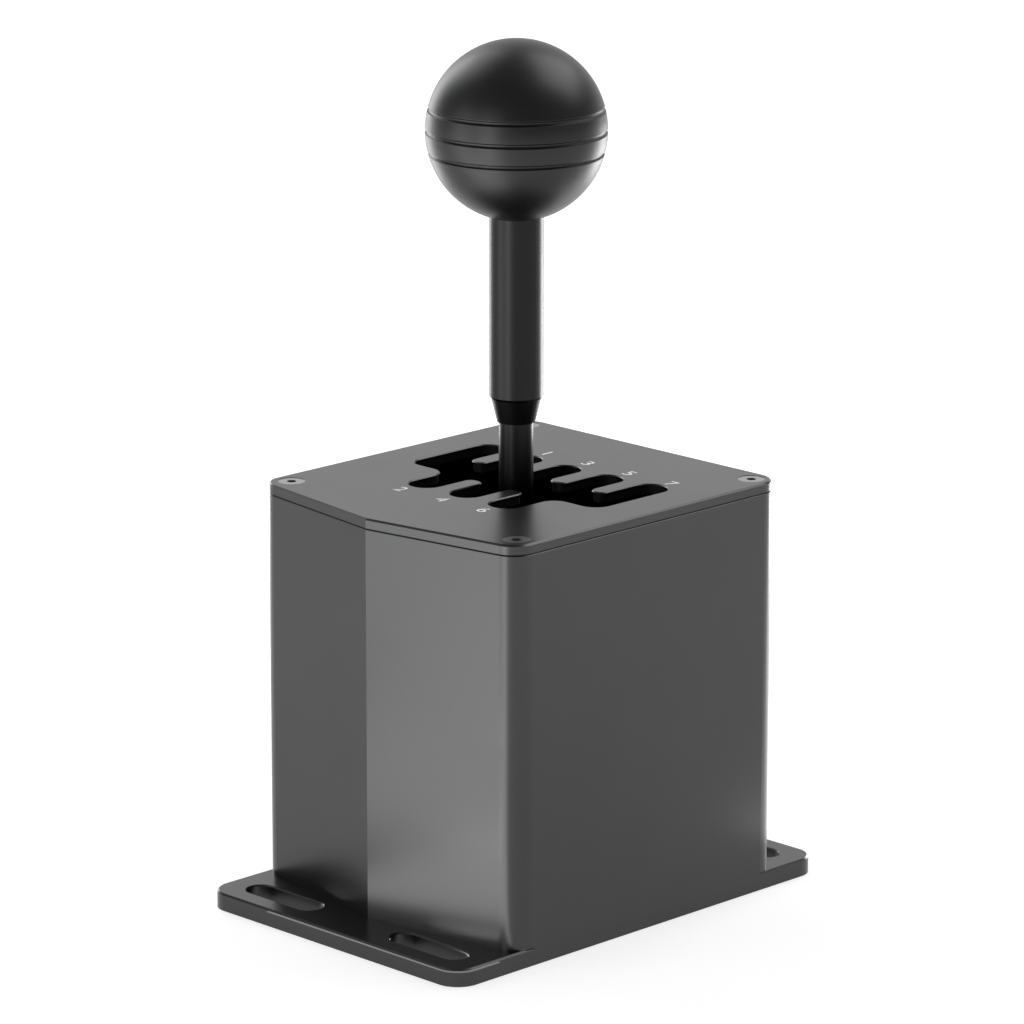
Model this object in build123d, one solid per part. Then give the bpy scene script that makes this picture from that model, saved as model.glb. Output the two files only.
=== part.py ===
from build123d import *
from math import atan, cos, degrees, pi, sin, sqrt, tan
import os

# An H-pattern gear shifter with seven forward gears and a reverse column.
# Millimetres. +X points to the driver's right, +Y away from the driver and +Z up.
# The origin is at the middle of the base plate's underside, on the lever's neutral line.

# Base plate and the slots that bolt it to a rig
base_width = 100.0
base_depth = 144.0
base_thickness = 5.0
base_corner_radius = 7.0
base_edge = 0.5
slot_length = 27.6
slot_width = 8.0
slot_side_margin = 7.4
slot_end_margin = 6.0
slot_edge = 0.4

# Housing: a prism whose driver side comes forward to a sharp ridge
housing_front = 49.9
housing_prow = 7.6
housing_back = 54.25
housing_corner_radius = 6.9
housing_wall = 3.0
gate_top = 118.5
seam_edge = 0.25
screw_inset = 6.0
screw_column_radius = 5.0
housing_half = base_width / 2

# Lever and the tilts that its gate allows
pivot_height = 32.0
rod_diameter = 9.6
column_pitch = 15.75
shift_reach = 18.7

# Gate plate, with a thin land round the openings and a plastic liner below the land
gate_thickness = 3.0
gate_edge = 0.5
gate_land = 0.7
gate_opening_edge = 0.3
gate_clearance = 0.15
gate_end_clearance = 0.1
corridor_half = 7.2
pocket_rear = 6.2
shoulder_radius = 5.0
pocket_radius = 5.0
tongue_round_share = 0.46
liner_margin = 4.5
liner_relief = 0.4
liner_corner_radius = 4.0

# Clearances that all fits share
fit_clearance = 0.02
running_clearance = 0.05
soft_clearance = 0.3
screw_sink = 0.1
overrun = 1.0

# Screws: radius, head radius, width across the hex socket and its depth
m4_radius = 2.0
m4_head_radius = 3.8
m4_socket = 2.5
m4_socket_depth = 1.7
m3_radius = 1.5
m3_head_radius = 2.8
m3_head_height = 1.7
m3_socket = 2.0
m3_socket_depth = 1.0
m2_radius = 1.25
m2_head_radius = 2.25
m2_head_height = 1.3
m2_socket = 1.5
m2_socket_depth = 0.8
gate_screw_length = 12.0
shell_screw_length = 14.0

# Ball bearings of the gimbal
shaft_radius = 4.0
bearing_radius = 8.0
bearing_width = 5.0
bearing_inner_radius = 5.0
bearing_race_radius = 6.0
bearing_ball_radius = 1.2
bearing_ball_count = 9
bearing_shoulder_radius = 6.2

# Pedestals that carry the yoke
pedestal_reach = 30.0
pedestal_thickness = 8.0
pedestal_half_width = 15.0
pedestal_foot_depth = 9.0
pedestal_foot_thickness = 6.0
pedestal_screw_x = 10.0
pedestal_screw_length = 9.0

# Select yoke: a ring round the lever's hub
yoke_half_x = 27.0
yoke_half_y = 24.0
yoke_window_x = 18.0
yoke_window_y = 16.0
yoke_half_height = 8.0
yoke_corner_radius = 4.0
clip_thickness = 0.7
clip_depth = 0.3
clip_radius = 5.4
clip_gap = 4.0
spacer_radius = 5.2

# Lever hub and cross shaft
hub_half_x = 11.0
hub_half_y = 10.0
hub_below = 11.0
hub_above = 11.0
hub_corner_radius = 2.0
hub_boss_radius = 9.5
hub_boss_height = 13.0
rod_seat_height = 5.5
grub_radius = 2.0
grub_gap = 0.3
grub_socket = 2.0
grub_height_share = 0.55

# Detent: a notched cam on the cross shaft and a leaf spring on the yoke
cam_start = 29.5
cam_thickness = 4.0
cam_radius = 15.0
cam_hub_radius = 9.0
cam_half_angle = 35.0
notch_radius = 1.6
notch_lift = 0.5
nut_across = 13.0
nut_thickness = 4.0
nut_overhang = 1.0
leaf_thickness = 0.6
leaf_tail = 3.5
leaf_margin = 0.6
lug_outer_x = 34.0
lug_inner_y = 15.0
lug_top = 6.0
leaf_screw_length = 5.0

# Lever, sleeve and knob
rod_edge = 0.6
sleeve_bottom = 135.7
sleeve_bottom_radius = 5.3
sleeve_cone_top = 142.3
sleeve_cone_top_radius = 6.9
sleeve_shoulder = 143.1
sleeve_radius = 7.55
knob_radius = 25.0
knob_centre = 217.25
knob_groove_radius = 0.6
knob_groove_spacing = 6.0
knob_groove_round = 0.2
knob_seat_depth = 2.6
insert_radius = 6.0
insert_length = 22.0
insert_cap = 1.0
insert_groove_depth = 0.6
insert_groove_shares = (0.33, 0.67)
insert_groove_width = 1.5
stud_radius = 4.0
stud_gap = 1.5

# Centring unit behind the lever
arm_drop = 14.5
arm_thickness = 3.0
arm_half_width = 5.0
arm_ear_half_width = 13.0
arm_ear_half_height = 5.0
arm_screw_x = 9.5
arm_screw_length = 7.0
arm_tip = 4.0
pin_radius = 2.5
pin_end_gap = 0.2
slider_half = 8.0
slider_thickness = 6.6
slider_bottom = 6.0
slider_top = 21.0
slider_web = 0.3
slider_gap = 0.4
guide_radius = 3.0
guide_height = 10.5
guide_side_gap = 8.0
guide_block_width = 6.0
guide_block_depth = 15.0
guide_block_top = 16.0
guide_screw_offset = 4.8
guide_screw_length = 7.0
guide_overhang = 0.5
spring_wire_radius = 0.5
spring_coil_radius = 4.2
spring_turns = 7

# Angle sensors: a magnet on each shaft's end and a small board facing it
magnet_radius = 3.0
magnet_thickness = 2.5
holder_radius = 5.0
holder_wall = 0.2
sensor_gap = 1.0
sensor_board_half = 13.0
sensor_board_height = 14.0
sensor_board_thickness = 1.6
sensor_chip_size = 5.0
sensor_chip_height = 1.0
sensor_post_offset = 10.0
sensor_post_radius = 2.25
sensor_screw_length = 5.0

# Main board on the back wall, with the data socket at its middle
board_half_width = 26.0
board_half_height = 19.0
board_thickness = 1.6
board_height = 72.0
board_post_length = 12.0
board_post_radius = 3.0
board_post_inset = 4.0
board_screw_length = 6.5
chip_size = 10.0
chip_height = 1.4
header_width = 8.0
header_height = 6.0
header_depth = 5.0
header_wall = 0.6
capacitor_radius = 2.5
capacitor_height = 6.0
socket_width = 15.4
socket_height = 13.0
socket_inside_width = 11.9
socket_inside_height = 6.8
socket_inside_depth = 12.0
socket_drop = 1.0
socket_recess = 0.1
contact_count = 6
contact_pitch = 1.3
contact_width = 0.5
contact_thickness = 0.4
contact_length = 7.5
contact_drop = 1.2
bezel_half_width = 13.0
bezel_half_height = 9.5
bezel_thickness = 1.5
bezel_corner_radius = 2.0
bezel_screw_x = 10.7
bezel_screw_length = 4.5
socket_clearance = 0.3

# Sizes and angles that follow from the values above
slot_spacing_x = base_width - slot_length - 2 * slot_side_margin
slot_spacing_y = base_depth - slot_width - 2 * slot_end_margin
guide_block_inner = housing_half - housing_wall - guide_side_gap - guide_block_width
shell_top = gate_top - gate_thickness
land_middle = gate_top - gate_land / 2
liner_thickness = gate_thickness - gate_land
rod_radius = rod_diameter / 2
shift_angle = atan(shift_reach / (gate_top - pivot_height))
screw_x = housing_half - screw_inset
screw_ys = (screw_inset - housing_front, housing_back - screw_inset)
screw_points = [(side * screw_x, y) for side in (-1, 1) for y in screw_ys]

TURNS = {
    "+X": Rot(0, 90, 0),
    "-X": Rot(0, -90, 0),
    "+Y": Rot(-90, 0, 0),
    "-Y": Rot(90, 0, 0),
    "+Z": Rot(0, 0, 0),
    "-Z": Rot(180, 0, 0),
}


def facing(direction, shape, x, y, z):
    """A shape made on the origin's Z axis, turned to a direction and moved to a point."""
    return Pos(x, y, z) * TURNS[direction] * shape


def block(x_low, x_high, y_low, y_high, z_low, z_high):
    """A box between its lowest and highest corners."""
    middle = Pos((x_low + x_high) / 2, (y_low + y_high) / 2, (z_low + z_high) / 2)
    return middle * Box(x_high - x_low, y_high - y_low, z_high - z_low)


def bar_x(radius, x_low, x_high, y, z):
    """A round bar along X."""
    return facing("+X", Cylinder(radius, x_high - x_low), (x_low + x_high) / 2, y, z)


def bar_y(radius, y_low, y_high, x, z):
    """A round bar along Y."""
    return facing("+Y", Cylinder(radius, y_high - y_low), x, (y_low + y_high) / 2, z)


def bar_z(radius, z_low, z_high, x, y):
    """A round bar along Z."""
    return facing("+Z", Cylinder(radius, z_high - z_low), x, y, (z_low + z_high) / 2)


def hexagon_recess(across, depth):
    """A hex socket whose mouth is at the origin and which goes down."""
    mouth = RegularPolygon(across / 2, 6, major_radius=False)
    return Pos(0, 0, -depth) * extrude(mouth, depth + overrun)


def countersunk_screw(length):
    """An M4 countersunk screw: the head's flat is at the origin and the shank goes down."""
    cone_depth = m4_head_radius - m4_radius
    head = Pos(0, 0, -cone_depth / 2) * Cone(m4_radius, m4_head_radius, cone_depth)
    shank = bar_z(m4_radius, -length, -cone_depth, 0, 0)
    return head + shank - hexagon_recess(m4_socket, m4_socket_depth)


def countersink(length):
    """The space that a countersunk screw takes, with its fit clearance and an open mouth."""
    head_radius = m4_head_radius + fit_clearance
    cone_depth = m4_head_radius - m4_radius
    cone = Pos(0, 0, -cone_depth / 2) * Cone(m4_radius + fit_clearance, head_radius, cone_depth)
    mouth = bar_z(head_radius, 0, overrun, 0, 0)
    return cone + mouth + bar_z(m4_radius + fit_clearance, -length, 0, 0, 0)


def pan_screw(radius, head_radius, head_height, socket, socket_depth, length):
    """A pan-head screw: the head's underside is at the origin and the shank goes down."""
    head = bar_z(head_radius, 0, head_height, 0, 0)
    head = fillet(head.edges().group_by(Axis.Z)[-1], head_height / 2)
    shank = bar_z(radius, -length, 0, 0, 0)
    return head + shank - Pos(0, 0, head_height) * hexagon_recess(socket, socket_depth)


def m3_screw(length):
    return pan_screw(m3_radius, m3_head_radius, m3_head_height, m3_socket, m3_socket_depth, length)


def m2_screw(length):
    return pan_screw(m2_radius, m2_head_radius, m2_head_height, m2_socket, m2_socket_depth, length)


def export_node(name, *shapes):
    """Writes the solids of one named piece, or of one group of like pieces."""
    solids = [solid for shape in shapes for solid in shape.solids()]
    export_step(solids[0] if len(solids) == 1 else Compound(solids), f"parts/{name}.step")


def prism_outline(half_width, front, prow, back, corner_radius):
    """A plan whose front edge is two straight lines that meet at a ridge."""
    corners = [
        (-half_width, -front),
        (0, -front - prow),
        (half_width, -front),
        (half_width, back),
        (-half_width, back),
    ]
    plan = make_face(Polyline(*corners, close=True))
    rounded = [corner for corner in plan.vertices() if abs(corner.X) > half_width / 2]
    return fillet(rounded, corner_radius)


def housing_outline():
    return prism_outline(housing_half, housing_front, housing_prow, housing_back, housing_corner_radius)


def housing_inside():
    """The housing's outline moved in by its wall."""
    slope = atan(housing_prow / housing_half)
    half_width = housing_half - housing_wall
    prow = half_width * tan(slope)
    front = housing_front + housing_prow - housing_wall / cos(slope) - prow
    return prism_outline(
        half_width, front, prow, housing_back - housing_wall, housing_corner_radius - housing_wall
    )


def pedestal_screw_points():
    y = pedestal_reach + pedestal_thickness + pedestal_foot_depth / 2
    return [(x, side * y) for x in (-pedestal_screw_x, pedestal_screw_x) for side in (-1, 1)]


def guide_axis_y():
    """The guide rod runs under the yoke's rear wall, in front of the centring arm."""
    return yoke_half_y - slider_gap - slider_thickness / 2


def guide_screw_points():
    x = guide_block_inner + guide_block_width / 2
    ys = (guide_axis_y() - guide_screw_offset, guide_axis_y() + guide_screw_offset)
    return [(side * x, y) for side in (-1, 1) for y in ys]


def base_plate():
    plate = extrude(RectangleRounded(base_width, base_depth, base_corner_radius), base_thickness)
    plate = chamfer(plate.edges().group_by(Axis.Z)[-1], base_edge)
    # The edge stays square under the housing's sides, which stand flush with the plate
    flush_front = housing_corner_radius - housing_front
    flush_back = housing_back - housing_corner_radius
    low = base_thickness - base_edge
    inner = base_width / 2 - base_edge
    plate += block(inner, base_width / 2, flush_front, flush_back, low, base_thickness)
    plate += block(-base_width / 2, -inner, flush_front, flush_back, low, base_thickness)
    slot_profile = SlotOverall(slot_length, slot_width)
    for x in (-slot_spacing_x / 2, slot_spacing_x / 2):
        for y in (-slot_spacing_y / 2, slot_spacing_y / 2):
            plate -= Pos(x, y, -overrun) * extrude(slot_profile, base_thickness + 2 * overrun)
            mouth = Pos(x, y, base_thickness - slot_edge) * extrude(slot_profile, slot_edge, taper=-45)
            plate -= mouth
    sunk = base_thickness + overrun
    for x, y in screw_points + pedestal_screw_points():
        plate -= facing("-Z", countersink(sunk), x, y, screw_sink)
    for x, y in guide_screw_points():
        head_bottom = m3_head_height + screw_sink
        plate -= bar_z(m3_head_radius + fit_clearance, -overrun, head_bottom, x, y)
        plate -= bar_z(m3_radius + fit_clearance, 0, sunk, x, y)
    return plate


def body_shell():
    height = shell_top - base_thickness
    shell = Pos(0, 0, base_thickness) * extrude(housing_outline(), height)
    shell = chamfer(shell.edges().group_by(Axis.Z)[-1], seam_edge)
    inside = extrude(housing_inside(), height + 2 * overrun)
    shell -= Pos(0, 0, base_thickness - overrun) * inside
    for x, y in screw_points:
        column = bar_z(screw_column_radius, base_thickness, shell_top, x, y)
        shell += column & Pos(0, 0, base_thickness) * extrude(housing_outline(), height)
    for x, y in screw_points:
        shell -= bar_z(m4_radius + fit_clearance, base_thickness - overrun, shell_top + overrun, x, y)
    half_width = socket_width / 2 + socket_clearance
    half_height = socket_height / 2 + socket_clearance
    inner_face = housing_back - housing_wall
    shell -= block(
        -half_width,
        half_width,
        inner_face - overrun,
        housing_back + overrun,
        board_height - half_height,
        board_height + half_height,
    )
    bore = m2_radius + fit_clearance
    for x in (-bezel_screw_x, bezel_screw_x):
        shell -= bar_y(bore, inner_face - overrun, housing_back + overrun, x, board_height)
    return shell


def column_tilt(column):
    """The select tilt that puts the lever in a column, counted from the middle one."""
    return atan(column * column_pitch / (land_middle - pivot_height))


def column_half_width(column):
    """Half the opening that the tilted rod needs within the land's thickness."""
    tilt = column_tilt(column)
    return rod_radius / cos(tilt) + gate_land / 2 * tan(tilt) + gate_clearance


def column_end(column):
    """How far the centre of a column's round end lies from the neutral line."""
    return shift_reach / cos(column_tilt(column)) + gate_end_clearance


def gate_column(column, side, forward, rearward):
    """One column of the gate: a strip with a round end wherever a gear lies."""
    x = side * column * column_pitch
    half = column_half_width(column)
    end = column_end(column)
    low = -end if rearward else -pocket_rear
    high = end if forward else pocket_rear
    strip = Pos(x, (low + high) / 2) * Rectangle(2 * half, high - low)
    if forward:
        strip += Pos(x, end) * Circle(half)
    if rearward:
        strip += Pos(x, -end) * Circle(half)
    return strip


def gate_opening():
    """The H-pattern: five columns joined by a corridor, with rounded tongues between them."""
    middle = Rectangle(2 * column_pitch, 2 * corridor_half)
    outer_height = pocket_rear + corridor_half
    outer_y = (corridor_half - pocket_rear) / 2
    opening = middle + Pos(0, outer_y) * Rectangle(4 * column_pitch, outer_height)
    opening += gate_column(0, 1, True, True)
    for side in (-1, 1):
        opening += gate_column(1, side, True, True)
        opening += gate_column(2, side, True, False)
    opening = opening.face()
    tongue = column_pitch - column_half_width(2) - column_half_width(1)
    tips = [v for v in opening.vertices() if abs(abs(v.Y) - corridor_half) < fit_clearance]
    opening = fillet(tips, tongue * tongue_round_share)
    wall = column_pitch + column_half_width(1)
    rear = [v for v in opening.vertices() if abs(v.Y + pocket_rear) < fit_clearance]
    shoulders = [v for v in rear if abs(abs(v.X) - wall) < fit_clearance]
    opening = fillet(shoulders, shoulder_radius)
    outer_wall = 2 * column_pitch + column_half_width(2)
    corners = [v for v in opening.vertices() if abs(abs(v.X) - outer_wall) < fit_clearance]
    pockets = [v for v in corners if abs(v.Y + pocket_rear) < fit_clearance]
    return fillet(pockets, pocket_radius)


def liner_outline(gap):
    """The liner's rounded rectangle, smaller than its pocket by a gap."""
    half_width = 2 * column_pitch + column_half_width(2) + liner_margin - gap
    front = column_end(2) + column_half_width(2) + liner_margin - gap
    rear = column_end(1) + column_half_width(1) + liner_margin - gap
    return Pos(0, (front - rear) / 2) * RectangleRounded(2 * half_width, front + rear, liner_corner_radius)


def gate_plate():
    plate = Pos(0, 0, shell_top) * extrude(housing_outline(), gate_thickness)
    plate = chamfer(plate.edges().group_by(Axis.Z)[-1], gate_edge)
    plate = chamfer(plate.edges().group_by(Axis.Z)[0], seam_edge)
    plate -= Pos(0, 0, shell_top - overrun) * extrude(gate_opening(), gate_thickness + 2 * overrun)
    top_face = plate.faces().sort_by(Axis.Z)[-1]
    plate = chamfer(top_face.inner_wires()[0].edges(), gate_opening_edge)
    plate -= Pos(0, 0, shell_top - overrun) * extrude(liner_outline(0), liner_thickness + overrun)
    for x, y in screw_points:
        plate -= Pos(x, y, gate_top - screw_sink) * countersink(gate_thickness + overrun)
    return plate


def gate_liner():
    liner = extrude(liner_outline(fit_clearance), liner_thickness)
    opening = offset(gate_opening(), amount=liner_relief)
    liner -= Pos(0, 0, -overrun) * extrude(opening, liner_thickness + 2 * overrun)
    return Pos(0, 0, shell_top) * liner


def housing_screws():
    """The gate's four screws, and those from below into the shell and the pedestals."""
    gate = [Pos(x, y, gate_top - screw_sink) * countersunk_screw(gate_screw_length) for x, y in screw_points]
    shell = [facing("-Z", countersunk_screw(shell_screw_length), x, y, screw_sink) for x, y in screw_points]
    pedestal = [
        facing("-Z", countersunk_screw(pedestal_screw_length), x, y, screw_sink)
        for x, y in pedestal_screw_points()
    ]
    export_node("gate_screws", *gate)
    export_node("shell_screws", *shell)
    export_node("pedestal_screws", *pedestal)


def bearing_ring(inner, outer):
    """A race: a ring with a groove for the balls, centred on the origin."""
    ring = Cylinder(outer, bearing_width) - Cylinder(inner, bearing_width + overrun)
    return ring - Torus(bearing_race_radius, bearing_ball_radius + fit_clearance)


def bearing_outer():
    race_gap = bearing_race_radius - bearing_inner_radius
    return bearing_ring(bearing_race_radius + race_gap, bearing_radius)


def bearing_inner():
    return bearing_ring(shaft_radius, bearing_inner_radius)


def bearing_balls():
    step = 360 / bearing_ball_count
    ball = Pos(bearing_race_radius, 0, 0) * Sphere(bearing_ball_radius)
    return [Rot(0, 0, step * index) * ball for index in range(bearing_ball_count)]


def bearings():
    """Two bearings in the pedestals for the yoke, and two in the yoke for the cross shaft."""
    select_y = pedestal_reach + bearing_width / 2
    shift_x = yoke_window_x + bearing_width / 2
    ends = (-1, 1)
    export_node(
        "select_bearing_outer_rings",
        *[facing("+Y", bearing_outer(), 0, side * select_y, pivot_height) for side in ends],
    )
    export_node(
        "select_bearing_balls",
        *[facing("+Y", ball, 0, side * select_y, pivot_height) for side in ends for ball in bearing_balls()],
    )
    export_node(
        "select_bearing_inner_rings",
        *[facing("+Y", bearing_inner(), 0, side * select_y, pivot_height) for side in ends],
    )
    export_node(
        "shift_bearing_outer_rings",
        *[facing("+X", bearing_outer(), side * shift_x, 0, pivot_height) for side in ends],
    )
    export_node(
        "shift_bearing_balls",
        *[facing("+X", ball, side * shift_x, 0, pivot_height) for side in ends for ball in bearing_balls()],
    )
    export_node(
        "shift_bearing_inner_rings",
        *[facing("+X", bearing_inner(), side * shift_x, 0, pivot_height) for side in ends],
    )


def pedestal():
    """The rear upright, with a round head round its bearing, on a foot that points outwards."""
    inner = pedestal_reach
    outer = pedestal_reach + pedestal_thickness
    upright = block(-pedestal_half_width, pedestal_half_width, inner, outer, base_thickness, pivot_height)
    upright += bar_y(pedestal_half_width, inner, outer, 0, pivot_height)
    foot_top = base_thickness + pedestal_foot_thickness
    foot_end = outer + pedestal_foot_depth
    upright += block(-pedestal_half_width, pedestal_half_width, inner, foot_end, base_thickness, foot_top)
    upright -= bar_y(bearing_radius, inner - overrun, inner + bearing_width, 0, pivot_height)
    upright -= bar_y(bearing_shoulder_radius, inner, outer + overrun, 0, pivot_height)
    for x in (-pedestal_screw_x, pedestal_screw_x):
        y = outer + pedestal_foot_depth / 2
        top = pedestal_screw_length + 2 * screw_sink
        upright -= bar_z(m4_radius + fit_clearance, base_thickness - overrun, top, x, y)
    return upright


def rear_pedestal():
    """The rear pedestal, with threaded holes for the sensor's screws."""
    upright = pedestal()
    outer = pedestal_reach + pedestal_thickness
    low = outer - sensor_screw_length
    for x in (-sensor_post_offset, sensor_post_offset):
        upright -= bar_y(m2_radius + fit_clearance, low, outer + overrun, x, pivot_height)
    return upright


def yoke_frame():
    """The ring, with bearing seats in its sides and a lug under its right side for the leaf."""
    height = 2 * yoke_half_height
    ring = RectangleRounded(2 * yoke_half_x, 2 * yoke_half_y, yoke_corner_radius)
    ring -= RectangleRounded(2 * yoke_window_x, 2 * yoke_window_y, yoke_corner_radius / 2)
    frame = Pos(0, 0, pivot_height - yoke_half_height) * extrude(ring, height)
    cheek = bar_x(bearing_radius + yoke_corner_radius, yoke_window_x, yoke_half_x, 0, pivot_height)
    frame += cheek
    frame += mirror(cheek, about=Plane.YZ)
    frame += block(
        yoke_half_x - overrun,
        lug_outer_x,
        -yoke_half_y,
        -lug_inner_y,
        leaf_top(),
        pivot_height + lug_top,
    )
    for side in (-1, 1):
        seat = bar_x(bearing_radius, yoke_window_x - overrun, yoke_window_x + bearing_width, 0, pivot_height)
        shoulder = bar_x(bearing_shoulder_radius, yoke_window_x, yoke_half_x + overrun, 0, pivot_height)
        frame -= seat if side > 0 else mirror(seat, about=Plane.YZ)
        frame -= shoulder if side > 0 else mirror(shoulder, about=Plane.YZ)
    reach = yoke_half_y + overrun
    frame -= bar_y(shaft_radius + fit_clearance, -reach, reach, 0, pivot_height)
    for x in (-arm_screw_x, arm_screw_x):
        bottom = yoke_half_y + arm_thickness - arm_screw_length - screw_sink
        frame -= bar_y(m3_radius + fit_clearance, bottom, yoke_half_y + overrun, x, pivot_height)
    for y in (-sensor_post_offset, sensor_post_offset):
        inner = sensor_screw_length - yoke_half_x
        frame -= bar_x(m2_radius + fit_clearance, -yoke_half_x - overrun, inner, y, pivot_height)
    for y in leaf_screw_ys():
        top = leaf_top() + leaf_screw_length
        frame -= bar_z(m2_radius + fit_clearance, leaf_top() - overrun, top, leaf_middle_x(), y)
    return frame


def shaft_clip():
    """An open retaining ring for a shaft's groove, centred on the origin."""
    ring = Cylinder(clip_radius, clip_thickness)
    ring -= Cylinder(shaft_radius - clip_depth + running_clearance, clip_thickness + overrun)
    return ring - Pos(clip_radius / 2, 0, 0) * Box(clip_radius, clip_gap, clip_thickness + overrun)


def clip_groove():
    """The groove that a retaining ring sits in."""
    width = clip_thickness + 2 * running_clearance
    groove = Cylinder(shaft_radius + overrun, width)
    return groove - Cylinder(shaft_radius - clip_depth, width + overrun)


def tube(direction, inner, outer, length, x, y, z):
    """A spacer tube whose near end is at a point."""
    ring = Cylinder(outer, length) - Cylinder(inner, length + overrun)
    return facing(direction, Pos(0, 0, length / 2) * ring, x, y, z)


def stub_in_holder():
    """How far a shaft's end reaches into its magnet holder."""
    return shaft_radius / 2


def magnet_holder():
    """A cup that slips over a shaft's end at the origin and holds a magnet beyond it."""
    cup = bar_z(holder_radius, -stub_in_holder(), magnet_thickness + holder_wall, 0, 0)
    cup -= bar_z(shaft_radius + fit_clearance, -stub_in_holder() - overrun, fit_clearance, 0, 0)
    return cup - bar_z(magnet_radius + fit_clearance, holder_wall, magnet_thickness + overrun, 0, 0)


def magnet():
    return bar_z(magnet_radius, holder_wall + fit_clearance, holder_wall + magnet_thickness, 0, 0)


def sensor_board():
    """A small board with its chip's face at the origin, looking back along Z."""
    board_low = sensor_chip_height
    board_high = board_low + sensor_board_thickness
    half_height = sensor_board_height / 2
    board = block(-sensor_board_half, sensor_board_half, -half_height, half_height, board_low, board_high)
    half_chip = sensor_chip_size / 2
    board += block(-half_chip, half_chip, -half_chip, half_chip, 0, board_low + fit_clearance)
    for x in (-sensor_post_offset, sensor_post_offset):
        board -= bar_z(m2_radius + fit_clearance, 0, board_high + overrun, x, 0)
    return board


def sensor_posts(length):
    """Two posts that end at the board's chip side, standing on a face that far back."""
    posts = []
    for x in (-sensor_post_offset, sensor_post_offset):
        post = bar_z(sensor_post_radius, sensor_chip_height - length, sensor_chip_height, x, 0)
        posts.append(post - bar_z(m2_radius + fit_clearance, -length, sensor_chip_height + overrun, x, 0))
    return posts


def sensor_screws(length):
    """Screws through a sensor's board and posts into the face that the posts stand on."""
    top = sensor_chip_height + sensor_board_thickness
    shank = sensor_board_thickness + length + sensor_screw_length - screw_sink
    return [Pos(x, 0, top) * m2_screw(shank) for x in (-sensor_post_offset, sensor_post_offset)]


def select_shafts():
    """Two stub shafts in the yoke's front and rear walls, their spacers, clips and magnet."""
    front_end = pedestal_reach + pedestal_thickness + soft_clearance
    rear_end = front_end + stub_in_holder()
    clip_y = pedestal_reach + bearing_width + clip_thickness / 2 + running_clearance
    shafts = []
    for side, end in ((-1, front_end), (1, rear_end)):
        low, high = sorted((side * yoke_window_y, side * end))
        shaft = bar_y(shaft_radius, low, high, 0, pivot_height)
        shafts.append(shaft - facing("+Y", clip_groove(), 0, side * clip_y, pivot_height))
    export_node("select_shafts", *shafts)
    export_node(
        "select_shaft_clips",
        *[facing("+Y", shaft_clip(), 0, side * clip_y, pivot_height) for side in (-1, 1)],
    )
    rear_face = yoke_half_y + arm_thickness
    bore = shaft_radius + fit_clearance
    front = tube("-Y", bore, spacer_radius, pedestal_reach - yoke_half_y, 0, -yoke_half_y, pivot_height)
    rear = tube("+Y", bore, spacer_radius, pedestal_reach - rear_face, 0, rear_face, pivot_height)
    export_node("select_shaft_spacers", front, rear)
    export_node("select_magnet_holder", facing("+Y", magnet_holder(), 0, rear_end, pivot_height))
    export_node("select_magnet", facing("+Y", magnet(), 0, rear_end, pivot_height))
    chip_y = rear_end + magnet_thickness + holder_wall + sensor_gap
    post_length = chip_y + sensor_chip_height - pedestal_reach - pedestal_thickness
    export_node("select_sensor_board", facing("+Y", sensor_board(), 0, chip_y, pivot_height))
    posts = [facing("+Y", post, 0, chip_y, pivot_height) for post in sensor_posts(post_length)]
    screws = [facing("+Y", screw, 0, chip_y, pivot_height) for screw in sensor_screws(post_length)]
    export_node("select_sensor_posts", *posts)
    export_node("select_sensor_screws", *screws)


def centring_arm():
    """A plate on the yoke's rear wall with ears for its screws and a stem for the pin."""
    low = yoke_half_y
    high = yoke_half_y + arm_thickness
    ears_low = pivot_height - arm_ear_half_height
    ears_high = pivot_height + arm_ear_half_height
    arm = block(-arm_ear_half_width, arm_ear_half_width, low, high, ears_low, ears_high)
    pin_height = pivot_height - arm_drop
    arm += block(-arm_half_width, arm_half_width, low, high, pin_height, ears_low)
    arm += bar_y(arm_half_width, low, high, 0, pin_height)
    arm -= bar_y(shaft_radius + fit_clearance, low - overrun, high + overrun, 0, pivot_height)
    arm -= bar_y(pin_radius + fit_clearance, low - overrun, high + overrun, 0, pin_height)
    for x in (-arm_screw_x, arm_screw_x):
        arm -= bar_y(m3_radius + fit_clearance, low - overrun, high + overrun, x, pivot_height)
    return arm


def centring_slider():
    """A block on the guide rod with an upright fork for the arm's pin."""
    low = guide_axis_y() - slider_thickness / 2
    high = guide_axis_y() + slider_thickness / 2
    slider = block(-slider_half, slider_half, low, high, slider_bottom, slider_top)
    slot_half = pin_radius + running_clearance
    slot_bottom = pivot_height - arm_drop - pin_radius - slider_web
    slider -= block(-slot_half, slot_half, low - overrun, high + overrun, slot_bottom, slider_top + overrun)
    bore = guide_radius + running_clearance
    reach = slider_half + overrun
    return slider - bar_x(bore, -reach, reach, guide_axis_y(), guide_height)


def helix_state(start_x, pitch, turn):
    """The point and direction of a spring's centre line after a number of turns along X."""
    angle = 2 * pi * turn
    point = Vector(
        start_x + pitch * turn,
        guide_axis_y() + spring_coil_radius * cos(angle),
        guide_height + spring_coil_radius * sin(angle),
    )
    around = 2 * pi * spring_coil_radius
    direction = Vector(pitch, -around * sin(angle), around * cos(angle)).normalized()
    return point, direction


def biarc(start, start_direction, end, end_direction):
    """Two arcs that leave one point and reach another in given directions."""
    chord = end - start
    both = start_direction + end_direction
    spread = 2 * (1 - start_direction.dot(end_direction))
    along = chord.dot(both)
    reach = (sqrt(along * along + spread * chord.dot(chord)) - along) / spread
    joint = (start + end + (start_direction - end_direction) * reach) * 0.5
    first = TangentArc(start, joint, tangent=start_direction)
    return [first, TangentArc(joint, end, tangent=first % 1)]


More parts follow.
